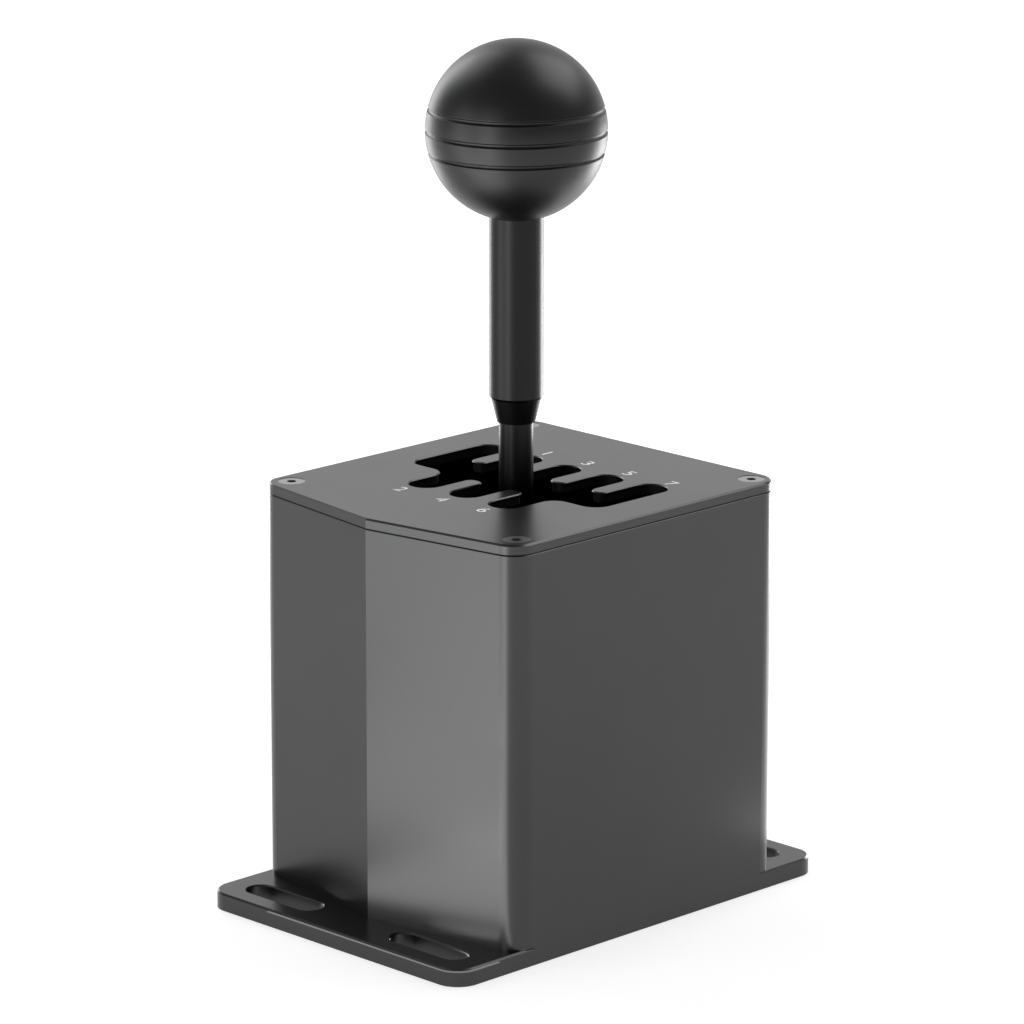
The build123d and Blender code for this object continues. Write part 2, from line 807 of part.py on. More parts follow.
def centring_spring(start_x, end_x):
    """A spring as one tube round the guide rod, swept along quarter-turn biarcs."""
    first = start_x + spring_wire_radius
    pitch = (end_x - start_x - 2 * spring_wire_radius) / spring_turns
    states = [helix_state(first, pitch, quarter / 4) for quarter in range(4 * spring_turns + 1)]
    edges = []
    for here, there in zip(states, states[1:]):
        edges += biarc(*here, *there)
    section = Plane(origin=states[0][0], z_dir=states[0][1]) * Circle(spring_wire_radius)
    gaps = [
        (one[0] - other[0]).length - 2 * spring_wire_radius
        for index, one in enumerate(states)
        for other in states[index + 3 :]
    ]
    print(f"least gap between the turns of a centring spring: {min(gaps):.2f} mm")
    return sweep(section, path=Wire(edges))


def centring_unit():
    """The spring-centred slider behind the lever, its guide rod, end blocks and arm."""
    y = guide_axis_y()
    inner = guide_block_inner
    outer = guide_block_inner + guide_block_width
    half_depth = guide_block_depth / 2
    end_block = block(inner, outer, y - half_depth, y + half_depth, base_thickness, guide_block_top)
    end_block -= bar_x(guide_radius + fit_clearance, inner - overrun, outer + overrun, y, guide_height)
    for x, screw_y in guide_screw_points():
        top = guide_screw_length + m3_head_height + 2 * screw_sink
        end_block -= bar_z(m3_radius + fit_clearance, base_thickness - overrun, top, x, screw_y)
    export_node("guide_blocks", end_block, mirror(end_block, about=Plane.YZ))
    reach = outer + guide_overhang
    export_node("guide_rod", bar_x(guide_radius, -reach, reach, y, guide_height))
    head_bottom = m3_head_height + screw_sink
    screws = [
        facing("-Z", m3_screw(guide_screw_length), x, screw_y, head_bottom)
        for x, screw_y in guide_screw_points()
    ]
    export_node("guide_block_screws", *screws)
    spring_start = slider_half + soft_clearance
    spring_end = guide_block_inner - soft_clearance
    export_node("centring_spring_right", centring_spring(spring_start, spring_end))
    export_node("centring_spring_left", centring_spring(-spring_end, -spring_start))
    export_node("centring_slider", centring_slider())
    export_node("centring_arm", centring_arm())
    arm_face = yoke_half_y + arm_thickness
    arm_screws = [
        facing("+Y", m3_screw(arm_screw_length), x, arm_face, pivot_height)
        for x in (-arm_screw_x, arm_screw_x)
    ]
    export_node("centring_arm_screws", *arm_screws)
    pin_low = guide_axis_y() - slider_thickness / 2 - pin_end_gap
    pin = bar_y(pin_radius, pin_low, arm_face, 0, pivot_height - arm_drop)
    export_node("centring_pin", pin)


def lever_hub():
    """A block on the cross shaft with a round boss that clamps the lever rod."""
    low = pivot_height - hub_below
    high = pivot_height + hub_above
    body = Pos(0, 0, low) * extrude(
        RectangleRounded(2 * hub_half_x, 2 * hub_half_y, hub_corner_radius), high - low
    )
    hub = body + bar_z(hub_boss_radius, high, high + hub_boss_height, 0, 0)
    reach = hub_half_x + overrun
    hub -= bar_x(shaft_radius + fit_clearance, -reach, reach, 0, pivot_height)
    top = high + hub_boss_height + overrun
    hub -= bar_z(rod_radius + fit_clearance, pivot_height + rod_seat_height, top, 0, 0)
    hub -= bar_z(grub_radius + fit_clearance, low - overrun, pivot_height, 0, 0)
    boss_reach = hub_boss_radius + overrun
    hub -= bar_y(grub_radius + fit_clearance, -boss_reach, boss_reach, 0, grub_height())
    return hub


def grub_height():
    return pivot_height + hub_above + hub_boss_height * grub_height_share


def grub_screw(length):
    """A headless screw: its socket is at the origin and its tip points down."""
    return bar_z(grub_radius, -length, 0, 0, 0) - hexagon_recess(grub_socket, length / 3)


def grub_screws():
    side_length = hub_boss_radius - rod_radius - 2 * grub_gap
    shaft_length = hub_below - shaft_radius - 2 * grub_gap
    start = hub_boss_radius - grub_gap
    return [
        facing("+Y", grub_screw(side_length), 0, start, grub_height()),
        facing("-Y", grub_screw(side_length), 0, -start, grub_height()),
        facing("-Z", grub_screw(shaft_length), 0, 0, pivot_height - hub_below + grub_gap),
    ]


def cross_shaft():
    """The shaft along X that the lever tilts on, its spacers, clip, nut and magnet."""
    left_end = -yoke_half_x - stub_in_holder() - sensor_gap
    cam_end = cam_start + cam_thickness
    right_end = cam_end + nut_thickness + nut_overhang
    clip_x = -yoke_window_x - bearing_width - clip_thickness / 2 - running_clearance
    shaft = bar_x(shaft_radius, left_end, right_end, 0, pivot_height)
    export_node("cross_shaft", shaft - facing("+X", clip_groove(), clip_x, 0, pivot_height))
    export_node("cross_shaft_clip", facing("+X", shaft_clip(), clip_x, 0, pivot_height))
    bore = shaft_radius + fit_clearance
    gap = yoke_window_x - hub_half_x
    bearing_end = yoke_window_x + bearing_width
    export_node(
        "cross_shaft_spacers",
        tube("+X", bore, spacer_radius, gap, hub_half_x, 0, pivot_height),
        tube("-X", bore, spacer_radius, gap, -hub_half_x, 0, pivot_height),
        tube("+X", bore, spacer_radius, cam_start - bearing_end, bearing_end, 0, pivot_height),
    )
    nut = extrude(RegularPolygon(nut_across / 2, 6, major_radius=False), nut_thickness)
    nut -= Cylinder(bore, 2 * nut_thickness + overrun)
    export_node("cam_nut", facing("+X", nut, cam_end, 0, pivot_height))
    export_node("shift_magnet_holder", facing("-X", magnet_holder(), left_end, 0, pivot_height))
    export_node("shift_magnet", facing("-X", magnet(), left_end, 0, pivot_height))
    chip_x = left_end - magnet_thickness - holder_wall - sensor_gap
    post_length = -yoke_half_x - chip_x + sensor_chip_height
    turn = Rot(0, 0, 90)
    board = facing("-X", turn * sensor_board(), chip_x, 0, pivot_height)
    posts = [facing("-X", turn * post, chip_x, 0, pivot_height) for post in sensor_posts(post_length)]
    screws = [facing("-X", turn * screw, chip_x, 0, pivot_height) for screw in sensor_screws(post_length)]
    export_node("shift_sensor_board", board)
    export_node("shift_sensor_posts", *posts)
    export_node("shift_sensor_screws", *screws)


def bump_height():
    """The height of the notches' centre when the lever is in neutral."""
    return pivot_height - cam_radius - notch_lift


def leaf_top():
    return bump_height() - leaf_margin


def leaf_middle_x():
    return cam_start + cam_thickness / 2


def leaf_screw_ys():
    span = yoke_half_y - lug_inner_y
    return (-yoke_half_y + span / 4, -lug_inner_y - span / 4)


def detent_cam():
    """A sector with a notch for forward, neutral and back at its rim, clamped on the shaft."""
    sector = Circle(cam_radius)
    angle = cam_half_angle * pi / 180
    wedge_x = cam_radius * 2 * sin(angle)
    wedge_y = -cam_radius * 2 * cos(angle)
    wedge = make_face(Polyline((0, 0), (wedge_x, wedge_y), (-wedge_x, wedge_y), close=True))
    cam = (sector & wedge) + Circle(cam_hub_radius)
    notch = Pos(0, -cam_radius - notch_lift) * Circle(notch_radius)
    for step in (-1, 0, 1):
        cam -= Rot(0, 0, step * degrees(shift_angle)) * notch
    cam -= Circle(shaft_radius + fit_clearance)
    upright = Plane(origin=(cam_start, 0, pivot_height), x_dir=(0, 1, 0), z_dir=(1, 0, 0))
    return upright * extrude(cam, cam_thickness)


def detent_leaf():
    """A flat spring under the cam, with a raised bump that lies in the neutral notch."""
    bump_radius = notch_radius - soft_clearance
    top = leaf_top()
    x_low = cam_start
    x_high = cam_start + cam_thickness
    strip = block(x_low, x_high, -yoke_half_y, leaf_tail, top - leaf_thickness, top)
    bump = bar_x(bump_radius, x_low, x_high, 0, bump_height())
    bump &= block(x_low, x_high, -bump_radius, bump_radius, top - leaf_thickness, bump_height() + bump_radius)
    leaf = strip + bump
    for y in leaf_screw_ys():
        hole_low = top - leaf_thickness - overrun
        leaf -= bar_z(m2_radius + fit_clearance, hole_low, top + overrun, leaf_middle_x(), y)
    return leaf


def lever_rod():
    """The lever's rod, seated in the hub, with a thinner stud for the knob's insert."""
    bottom = pivot_height + rod_seat_height + fit_clearance
    sleeve_top = knob_bottom() + knob_seat_depth
    rod = bar_z(rod_radius, bottom, sleeve_top, 0, 0)
    rod = chamfer(rod.edges().group_by(Axis.Z)[0], rod_edge)
    return rod + bar_z(stud_radius, sleeve_top, insert_top() - stud_gap, 0, 0)


def knob_bottom():
    """The height at which the sleeve enters the ball."""
    return knob_centre - sqrt(knob_radius**2 - sleeve_radius**2)


def insert_bottom():
    return knob_bottom() + knob_seat_depth + fit_clearance


def insert_top():
    return insert_bottom() + insert_length


def upper_sleeve():
    """A thick tube round the rod with a cone at its lower end."""
    bore = rod_radius + fit_clearance
    top = knob_bottom() + knob_seat_depth
    profile = Polyline(
        (bore, sleeve_bottom),
        (sleeve_bottom_radius, sleeve_bottom),
        (sleeve_cone_top_radius, sleeve_cone_top),
        (sleeve_radius, sleeve_shoulder),
        (sleeve_radius, top),
        (bore, top),
        close=True,
    )
    return revolve(Plane.XZ * make_face(profile), axis=Axis.Z)


def knob():
    """A ball with three shallow grooves round its middle and a seat for sleeve and insert."""
    ball = Sphere(knob_radius)
    for height in (-knob_groove_spacing, 0, knob_groove_spacing):
        ball -= Pos(0, 0, height) * Torus(sqrt(knob_radius**2 - height**2), knob_groove_radius)
    rims = [edge for edge in ball.edges() if edge.is_closed and edge.geom_type == GeomType.CIRCLE]
    ball = fillet(rims, knob_groove_round)
    ball = Pos(0, 0, knob_centre) * ball
    seat_top = knob_bottom() + knob_seat_depth + fit_clearance
    ball -= bar_z(sleeve_radius + fit_clearance, knob_centre - knob_radius - overrun, seat_top, 0, 0)
    return ball - bar_z(insert_radius + fit_clearance, seat_top - overrun, insert_top() + fit_clearance, 0, 0)


def knob_insert():
    """A threaded brass insert with two grooves that key it in the moulded ball."""
    insert = bar_z(insert_radius, insert_bottom(), insert_top(), 0, 0)
    for share in insert_groove_shares:
        middle = insert_bottom() + insert_length * share
        low = middle - insert_groove_width / 2
        high = middle + insert_groove_width / 2
        groove = bar_z(insert_radius + overrun, low, high, 0, 0)
        insert -= groove - bar_z(insert_radius - insert_groove_depth, low, high, 0, 0)
    bore_end = insert_top() - insert_cap
    return insert - bar_z(stud_radius + fit_clearance, insert_bottom() - overrun, bore_end, 0, 0)


def board_face():
    """The main board's side that looks at the back wall."""
    return housing_back - housing_wall - board_post_length


def board_post_points():
    x = board_half_width - board_post_inset
    z = board_half_height - board_post_inset
    return [(side * x, board_height + level * z) for side in (-1, 1) for level in (-1, 1)]


def main_board():
    low = board_face() - board_thickness
    bottom = board_height - board_half_height
    top = board_height + board_half_height
    board = block(-board_half_width, board_half_width, low, board_face(), bottom, top)
    for x, z in board_post_points():
        board -= bar_y(m3_radius + fit_clearance, low - overrun, board_face() + overrun, x, z)
    return board


def board_components():
    """The controller, two plug headers and a capacitor on the board's inner side."""
    face = board_face() - board_thickness
    left = -board_half_width / 2
    right = board_half_width / 2
    low = board_height - board_half_height / 2
    high = board_height + board_half_height / 2
    controller = Pos(left, face - chip_height / 2, board_height) * Box(chip_size, chip_height, chip_size)
    headers = []
    for z in (low, high):
        shroud = Pos(right, face - header_depth / 2, z) * Box(header_width, header_depth, header_height)
        inside = Box(header_width - 2 * header_wall, header_depth, header_height - 2 * header_wall)
        headers.append(shroud - Pos(right, face - header_depth / 2 - header_wall, z) * inside)
    capacitor = bar_y(capacitor_radius, face - capacitor_height, face, left, high + capacitor_radius)
    return [controller, *headers, capacitor]


def socket_middle():
    """The height of the socket's opening."""
    return board_height - socket_drop


def data_socket():
    """A modular socket: a block with a rectangular way in from behind."""
    mouth = housing_back - socket_recess
    half_width = socket_width / 2
    half_height = socket_height / 2
    low = board_height - half_height
    high = board_height + half_height
    body = block(-half_width, half_width, board_face(), mouth, low, high)
    half_width = socket_inside_width / 2
    half_height = socket_inside_height / 2
    low = socket_middle() - half_height
    high = socket_middle() + half_height
    return body - block(-half_width, half_width, mouth - socket_inside_depth, mouth + overrun, low, high)


def socket_contacts():
    """Straight contact wires under the roof of the socket's opening."""
    back = housing_back - socket_recess - socket_inside_depth
    roof = socket_middle() + socket_inside_height / 2
    top = roof - contact_drop
    contacts = []
    for index in range(contact_count):
        middle = (index - (contact_count - 1) / 2) * contact_pitch
        left = middle - contact_width / 2
        right = middle + contact_width / 2
        wire = block(left, right, back, back + contact_length, top - contact_thickness, top)
        root = block(left, right, back, back + contact_thickness, top, roof)
        contacts.append(wire + root)
    return contacts


def socket_bezel():
    """A frame round the socket's way in, on the back of the housing."""
    frame = RectangleRounded(2 * bezel_half_width, 2 * bezel_half_height, bezel_corner_radius)
    width = socket_inside_width + 2 * socket_clearance
    height = socket_inside_height + 2 * socket_clearance
    frame -= Pos(0, socket_drop) * Rectangle(width, height)
    for x in (-bezel_screw_x, bezel_screw_x):
        frame -= Pos(x, 0) * Circle(m2_radius + fit_clearance)
    back = Plane(origin=(0, housing_back, board_height), x_dir=(1, 0, 0), z_dir=(0, 1, 0))
    bezel = back * extrude(frame, bezel_thickness)
    return chamfer(bezel.faces().sort_by(Axis.Y)[-1].outer_wire().edges(), bezel_thickness / 3)


def electronics():
    """The main board on its posts, and the data socket with its contacts and bezel."""
    export_node("main_board", main_board())
    export_node("board_components", *board_components())
    inner_face = housing_back - housing_wall
    posts = []
    for x, z in board_post_points():
        post = bar_y(board_post_radius, board_face(), inner_face, x, z)
        posts.append(post - bar_y(m3_radius + fit_clearance, board_face() - overrun, inner_face, x, z))
    export_node("board_posts", *posts)
    front = board_face() - board_thickness
    screws = [facing("-Y", m3_screw(board_screw_length), x, front, z) for x, z in board_post_points()]
    export_node("board_screws", *screws)
    export_node("data_socket", data_socket())
    export_node("socket_contacts", *socket_contacts())
    export_node("socket_bezel", socket_bezel())
    bezel_face = housing_back + bezel_thickness
    bezel_screws = [
        facing("+Y", m2_screw(bezel_screw_length), x, bezel_face, board_height)
        for x in (-bezel_screw_x, bezel_screw_x)
    ]
    export_node("bezel_screws", *bezel_screws)


def main():
    """Makes every piece and writes one file for each."""
    os.makedirs("parts", exist_ok=True)
    export_node("base_plate", base_plate())
    export_node("body_shell", body_shell())
    export_node("gate_plate", gate_plate())
    export_node("gate_liner", gate_liner())
    housing_screws()
    export_node("rear_pedestal", rear_pedestal())
    export_node("front_pedestal", mirror(pedestal(), about=Plane.XZ))
    bearings()
    export_node("yoke_frame", yoke_frame())
    select_shafts()
    centring_unit()
    export_node("lever_hub", lever_hub())
    export_node("hub_grub_screws", *grub_screws())
    cross_shaft()
    export_node("detent_cam", detent_cam())
    export_node("detent_leaf", detent_leaf())
    leaf_bottom = leaf_top() - leaf_thickness
    leaf_screws = [
        facing("-Z", m2_screw(leaf_screw_length), leaf_middle_x(), y, leaf_bottom) for y in leaf_screw_ys()
    ]
    export_node("leaf_screws", *leaf_screws)
    export_node("lever_rod", lever_rod())
    export_node("upper_sleeve", upper_sleeve())
    export_node("knob", knob())
    export_node("knob_insert", knob_insert())
    electronics()
    print(f"select tilt in the outer columns' neighbours: {degrees(column_tilt(1)):.2f} degrees")
    print(f"shift tilt: {degrees(shift_angle):.2f} degrees")


main()
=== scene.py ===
"""An H-pattern gear shifter in a plain studio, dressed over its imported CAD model."""

import logging
import math
from collections.abc import Iterator
from contextlib import contextmanager
from dataclasses import dataclass
from enum import Enum
from functools import cache

import bpy
from mathutils import Matrix, Vector

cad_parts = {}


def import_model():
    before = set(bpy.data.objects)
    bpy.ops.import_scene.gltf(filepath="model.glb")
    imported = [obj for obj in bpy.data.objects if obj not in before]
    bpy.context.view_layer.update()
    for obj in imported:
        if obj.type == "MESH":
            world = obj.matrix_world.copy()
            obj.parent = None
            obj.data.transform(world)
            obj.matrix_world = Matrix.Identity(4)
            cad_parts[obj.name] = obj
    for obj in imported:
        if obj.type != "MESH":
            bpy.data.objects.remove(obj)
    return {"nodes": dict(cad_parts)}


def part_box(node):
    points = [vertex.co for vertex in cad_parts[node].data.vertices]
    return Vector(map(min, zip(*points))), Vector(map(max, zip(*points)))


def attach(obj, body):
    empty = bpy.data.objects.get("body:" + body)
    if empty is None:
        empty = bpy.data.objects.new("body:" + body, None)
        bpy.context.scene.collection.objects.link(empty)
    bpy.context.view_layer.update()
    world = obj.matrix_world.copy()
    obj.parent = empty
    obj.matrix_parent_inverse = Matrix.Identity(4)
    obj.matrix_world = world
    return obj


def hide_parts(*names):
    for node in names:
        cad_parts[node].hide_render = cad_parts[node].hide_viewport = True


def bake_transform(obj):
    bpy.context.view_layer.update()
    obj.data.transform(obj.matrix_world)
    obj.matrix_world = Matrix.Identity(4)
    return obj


LOG = logging.getLogger("shifter")
MM = 0.001
# The values between which a noise texture mostly lies.
NOISE_RANGE = (0.3, 0.7)
UP = Vector((0.0, 0.0, 1.0))
WHITE = (1.0, 1.0, 1.0, 1.0)

Triple = tuple[float, float, float]
Colour = Triple
Range = tuple[float, float]
Nodes = dict[str, bpy.types.Object]


class Grain(Enum):
    """How a finish's fine marks run, as the pattern's scale along X, Y and Z."""

    BLASTED = (1.0, 1.0, 1.0)
    TURNED_UPRIGHT = (0.03, 0.03, 1.0)
    TURNED_LENGTHWAYS = (0.03, 1.0, 0.03)
    TURNED_CROSSWAYS = (1.0, 0.03, 0.03)
    DRAWN_CROSSWAYS = (0.05, 1.0, 1.0)


class NodeTree:
    """A shorthand for the nodes that the materials and the world use."""

    def __init__(self, owner: bpy.types.Material | bpy.types.World) -> None:
        """Takes over a material's or a world's new node tree.

        Args:
            owner: A material or a world that already uses nodes.
        """
        self.tree = owner.node_tree
        # A world has no such shader.
        self.shader = self.tree.nodes.get("Principled BSDF")

    def link(self, source: bpy.types.NodeSocket, target: bpy.types.NodeSocket) -> None:
        """Joins two sockets."""
        self.tree.links.new(source, target)

    def coordinates(self, grain: Grain = Grain.BLASTED) -> bpy.types.NodeSocket:
        """Reads object coordinates through a mapping.

        Args:
            grain: Which way the pattern is stretched.

        Returns:
            The mapped vector.
        """
        source = self.tree.nodes.new("ShaderNodeTexCoord")
        mapping = self.tree.nodes.new("ShaderNodeMapping")
        mapping.inputs["Scale"].default_value = grain.value
        self.link(source.outputs["Object"], mapping.inputs["Vector"])
        return mapping.outputs["Vector"]

    def noise(
        self, vector: bpy.types.NodeSocket, size: float, detail: float
    ) -> bpy.types.NodeSocket:
        """Adds a noise texture.

        Args:
            vector: Where the noise is read.
            size: The size of one blotch, in millimetres.
            detail: How many finer octaves it has.

        Returns:
            The noise's value.
        """
        node = self.tree.nodes.new("ShaderNodeTexNoise")
        node.inputs["Scale"].default_value = 1 / (size * MM)
        node.inputs["Detail"].default_value = detail
        self.link(vector, node.inputs["Vector"])
        return node.outputs["Fac"]

    def ramp(
        self, value: bpy.types.NodeSocket, limits: Range, dark: Colour, light: Colour
    ) -> bpy.types.NodeSocket:
        """Picks a colour between two by a value.

        Args:
            value: What picks the colour.
            limits: The values that give the dark and the light colour.
            dark: The colour at the low end.
            light: The colour at the high end.

        Returns:
            The colour.
        """
        node = self.tree.nodes.new("ShaderNodeValToRGB")
        first, last = node.color_ramp.elements
        first.position, last.position = limits
        first.color, last.color = (*dark, 1.0), (*light, 1.0)
        self.link(value, node.inputs["Fac"])
        return node.outputs["Color"]

    def between(
        self, value: bpy.types.NodeSocket, limits: Range, results: Range, smooth: bool = False
    ) -> bpy.types.NodeSocket:
        """Maps a value from one range to another.

        Args:
            value: The value that is mapped.
            limits: The values at the two ends.
            results: What the two ends give.
            smooth: Whether the ends ease in and out.

        Returns:
            The mapped value.
        """
        node = self.tree.nodes.new("ShaderNodeMapRange")
        if smooth:
            node.interpolation_type = "SMOOTHSTEP"
        for name, end in zip(("From Min", "From Max", "To Min", "To Max"), (*limits, *results)):
            node.inputs[name].default_value = end
        self.link(value, node.inputs["Value"])
        return node.outputs["Result"]

    def combine(
        self, operation: str, first: bpy.types.NodeSocket, second: bpy.types.NodeSocket
    ) -> bpy.types.NodeSocket:
        """Joins two values by one step of arithmetic.

        Args:
            operation: What the maths node does.
            first: The first value.
            second: The second value.

        Returns:
            The result.
        """
        node = self.tree.nodes.new("ShaderNodeMath")
        node.operation = operation
        self.link(first, node.inputs[0])
        self.link(second, node.inputs[1])
        return node.outputs["Value"]

    def bump(self, height: bpy.types.NodeSocket, depth: float) -> None:
        """Raises the surface by a real height.

        Args:
            height: What raises the surface.
            depth: How high it raises it, in millimetres.
        """
        node = self.tree.nodes.new("ShaderNodeBump")
        node.inputs["Strength"].default_value = 1.0
        node.inputs["Distance"].default_value = depth * MM
        self.link(height, node.inputs["Height"])
        self.link(node.outputs["Normal"], self.shader.inputs["Normal"])


@dataclass(frozen=True)
class Finish:
    """A surface finish with its own grain and its slow changes of tone and gloss.

    Attributes:
        name: The material's name.
        colour: The linear base colour.
        metallic: The shader's metallic value.
        roughness: The middle of the roughness range.
        grain: How the fine marks run.
        grain_size: The size of one mark, in millimetres.
        grain_detail: How many finer octaves the marks have.
        depth: The height of the marks, in millimetres.
        cloud_size: The size of the slow changes, in millimetres.
        cloud_detail: How many finer octaves the slow changes have.
        mottle: How much the colour wanders, as a share.
        spread: How far the roughness wanders to each side.
        specular: The specular level.
    """

    name: str
    colour: Colour
    metallic: float
    roughness: float
    grain: Grain = Grain.BLASTED
    grain_size: float = 0.25
    grain_detail: float = 2.0
    depth: float = 0.0008
    cloud_size: float = 22.0
    cloud_detail: float = 3.0
    mottle: float = 0.03
    spread: float = 0.015
    specular: float = 0.5

    @cache
    def material(self) -> bpy.types.Material:
        """Makes the material, or gives the one made before.

        Returns:
            The material with its node tree.
        """
        made = bpy.data.materials.new(f"{self.name}_finish")
        made.use_nodes = True
        made.diffuse_color = (*self.colour, 1.0)
        made.metallic = self.metallic
        made.roughness = self.roughness
        tree = NodeTree(made)
        tree.shader.inputs["Metallic"].default_value = self.metallic
        tree.shader.inputs["Specular IOR Level"].default_value = self.specular
        clouds = tree.noise(tree.coordinates(), self.cloud_size, self.cloud_detail)
        marks = tree.noise(tree.coordinates(self.grain), self.grain_size, self.grain_detail)
        tree.link(self._tone(tree, clouds), tree.shader.inputs["Base Color"])
        gloss = (self.roughness - self.spread, self.roughness + self.spread)
        tree.link(tree.between(clouds, NOISE_RANGE, gloss), tree.shader.inputs["Roughness"])
        tree.bump(marks, self.depth)
        return made

    def _tone(self, tree: NodeTree, clouds: bpy.types.NodeSocket) -> bpy.types.NodeSocket:
        """Lets the colour wander with the clouds.

        Args:
            tree: The material's nodes.
            clouds: The slow noise.

        Returns:
            The base colour.
        """
        dark = tuple(c * (1 - self.mottle) for c in self.colour)
        light = tuple(min(1.0, c * (1 + self.mottle)) for c in self.colour)
        return tree.ramp(clouds, NOISE_RANGE, dark, light)


@dataclass(frozen=True)
class BoardFinish(Finish):
    """Solder resist over copper tracks, which show as paler lines.

    Attributes:
        track_size: The pitch of the tracks, in millimetres.
        track: The colour over the tracks.
        track_edge: Where a track starts and is full, as a share of the pitch from a middle.
    """

    track_size: float = 2.4
    track: Colour = (0.03, 0.17, 0.07)
    track_edge: Range = (0.34, 0.38)

    def _tone(self, tree: NodeTree, clouds: bpy.types.NodeSocket) -> bpy.types.NodeSocket:
        """Draws the tracks as the edges of square cells.

        Args:
            tree: The material's nodes.
            clouds: The slow noise, which the tracks don't follow.

        Returns:
            The base colour.
        """
        cells = tree.tree.nodes.new("ShaderNodeTexVoronoi")
        cells.distance = "CHEBYCHEV"
        cells.inputs["Scale"].default_value = 1 / (self.track_size * MM)
        tree.link(tree.coordinates(), cells.inputs["Vector"])
        return tree.ramp(cells.outputs["Distance"], self.track_edge, self.colour, self.track)


# Each finish states its colour, its metallic value and its roughness, in this order.
DARK_ANODISED = Finish(
    "dark_anodised", (0.061, 0.0612, 0.062), 1.0, 0.3, spread=0.01, mottle=0.02
)
BLACK_STEEL = Finish("black_steel", (0.02, 0.02, 0.0205), 1.0, 0.32, Grain.TURNED_UPRIGHT)
BLACK_SLEEVE = Finish("black_sleeve", (0.023, 0.023, 0.0235), 1.0, 0.34, Grain.TURNED_UPRIGHT)
KNOB_BLACK = Finish("knob_black", (0.042, 0.042, 0.0425), 1.0, 0.4, Grain.TURNED_UPRIGHT)
BLACK_FRAME = Finish("black_frame", (0.04, 0.04, 0.041), 1.0, 0.34)
LINER_BLACK = Finish("liner_black", (0.004, 0.004, 0.004), 0.0, 0.5, depth=0.002, specular=0.2)
SLIDER_BLACK = Finish("slider_black", (0.012, 0.012, 0.012), 0.0, 0.42, depth=0.002)
SCREW_STEEL = Finish("screw_steel", (0.3, 0.3, 0.305), 1.0, 0.3, depth=0.0004)
PLAIN_ALUMINIUM = Finish("plain_aluminium", (0.5, 0.505, 0.51), 1.0, 0.36, Grain.DRAWN_CROSSWAYS)
LENGTHWAYS_STEEL = Finish(
    "ground_steel_lengthways", (0.45, 0.455, 0.46), 1.0, 0.2, Grain.TURNED_LENGTHWAYS
)
CROSSWAYS_STEEL = Finish(
    "ground_steel_crossways", (0.45, 0.455, 0.46), 1.0, 0.2, Grain.TURNED_CROSSWAYS
)
BEARING_STEEL = Finish("bearing_steel", (0.5, 0.5, 0.51), 1.0, 0.16, depth=0.0002)
SPRING_STEEL = Finish("spring_steel", (0.36, 0.365, 0.37), 1.0, 0.26, Grain.DRAWN_CROSSWAYS)
BRASS = Finish("brass", (0.66, 0.47, 0.2), 1.0, 0.28, Grain.TURNED_LENGTHWAYS)
KNURLED_BRASS = Finish(
    "knurled_brass", (0.66, 0.47, 0.2), 1.0, 0.34, Grain.TURNED_UPRIGHT, depth=0.003
)
BOARD_GREEN = BoardFinish("board_green", (0.012, 0.1, 0.04), 0.0, 0.28)
COMPONENT_BLACK = Finish("component_black", (0.02, 0.02, 0.021), 0.0, 0.5, depth=0.003)
SOCKET_BLACK = Finish("socket_black", (0.015, 0.015, 0.016), 0.0, 0.4, depth=0.002)
NICKEL = Finish("nickel", (0.58, 0.57, 0.55), 1.0, 0.18, depth=0.0002)
PRINT_WHITE = Finish("print_white", (0.78, 0.78, 0.78), 0.0, 0.5, grain_size=0.1, specular=0.3)


def dress(nodes: Nodes, finish: Finish, *names: str) -> None:
    """Gives one finish to several CAD nodes.

    Args:
        nodes: The CAD nodes by name.
        finish: The finish.
        *names: The names of the nodes that get it.
    """
    material = finish.material()
    for name in names:
        piece = nodes[name]
        if not piece.material_slots:
            piece.data.materials.append(material)
        for slot in piece.material_slots:
            slot.material = material
        LOG.info("dressed %s in %s", name, finish.name)


@contextmanager
def editing() -> Iterator[None]:
    """Holds the active object in edit mode, with all of it selected."""
    bpy.ops.object.mode_set(mode="EDIT")
    bpy.ops.mesh.select_all(action="SELECT")
    yield
    bpy.ops.object.mode_set(mode="OBJECT")


@dataclass
class Housing:
    """The base plate and the shell that stands on it."""

    nodes: Nodes

    def build(self) -> None:
        """Dresses the plate, the shell and the screws from below."""
        dress(self.nodes, DARK_ANODISED, "base_plate", "body_shell")
        dress(self.nodes, SCREW_STEEL, "shell_screws")


